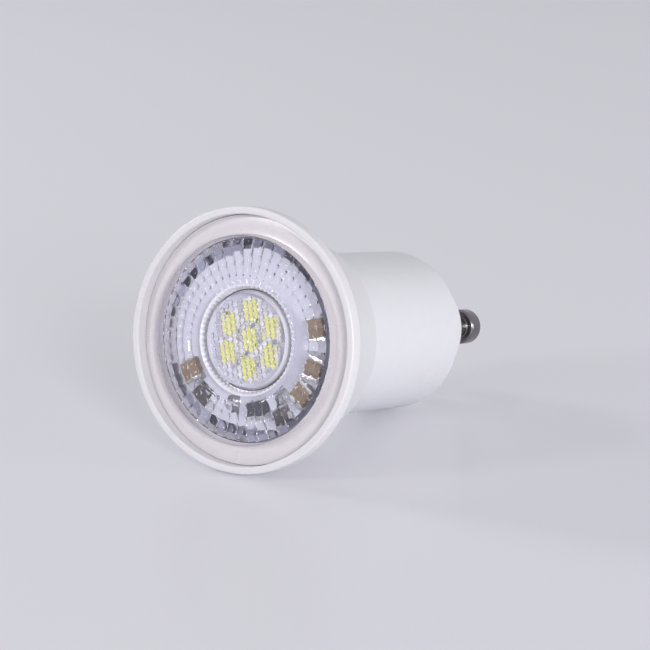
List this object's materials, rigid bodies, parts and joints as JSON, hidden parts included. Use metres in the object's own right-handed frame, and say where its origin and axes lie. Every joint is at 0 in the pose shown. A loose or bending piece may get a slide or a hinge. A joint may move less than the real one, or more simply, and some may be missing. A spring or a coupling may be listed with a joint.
{
  "type": "twist-lock spotlight bulb",
  "caption": "Small white reflector-style light bulb with a clear faceted lens plate over yellow light chips, a flared cup, a round base and two headed twist-lock pins.",
  "frame": {"origin": "centre of the front rim's flat front plane; the bulb stands on that rim, pins up", "axes": "+Z along the bulb's axis from the lens towards the contact pins; X through the two pins; Y completes the right-handed set"},
  "size_m": [0.035, 0.035, 0.0506],
  "materials": {
    "housing_white": "satin",
    "base_white": "satin",
    "lens_clear": "clear polished plastic",
    "board_white": "white solder mask on aluminium",
    "thermal_grey": "soft matt",
    "sink_aluminium": "pressed, dark anodised, dull",
    "chip_frame": "matt",
    "phosphor_yellow": "satin",
    "chip_black": "matt",
    "ceramic_tan": "matt",
    "resistor_dark": "matt",
    "pin_nickel": "dull nickel plate",
    "circuit_green": "satin solder mask",
    "can_dark": "sleeved can",
    "core_grey": "matt ferrite",
    "copper": "lacquered copper wire",
    "resistor_blue": "lacquered",
    "wire_red": "satin",
    "wire_black": "satin",
    "wire_white": "satin",
    "solder": "bright solder"
  },
  "bodies": {
    "root": {"base_shell": "base_white", "black_wire": "wire_black", "board_resistor_1": "resistor_dark", "board_resistor_2": "resistor_dark", "bridge_rectifier": "chip_black", "contact_pin_1": "pin_nickel", "contact_pin_2": "pin_nickel", "driver_board": "circuit_green", "driver_ic": "chip_black", "electrolytic_capacitor": "can_dark", "front_housing": "housing_white", "fuse_resistor": "resistor_blue", "heat_sink": "sink_aluminium", "inductor_core": "core_grey", "inductor_winding": "copper", "led_1": "chip_frame", "led_2": "chip_frame", "led_3": "chip_frame", "led_4": "chip_frame", "led_5": "chip_frame", "led_6": "chip_frame", "led_7": "chip_frame", "led_board": "board_white", "lens": "lens_clear", "phosphor_1": "phosphor_yellow", "phosphor_2": "phosphor_yellow", "phosphor_3": "phosphor_yellow", "phosphor_4": "phosphor_yellow", "phosphor_5": "phosphor_yellow", "phosphor_6": "phosphor_yellow", "phosphor_7": "phosphor_yellow", "pin_wire_1": "wire_white", "pin_wire_2": "wire_white", "red_wire": "wire_red", "solder_joint_1": "solder", "solder_joint_2": "solder", "tan_capacitor_1": "ceramic_tan", "tan_capacitor_2": "ceramic_tan", "tan_capacitor_3": "ceramic_tan", "tan_capacitor_4": "ceramic_tan", "thermal_pad": "thermal_grey"}
  },
  "joints": []
}
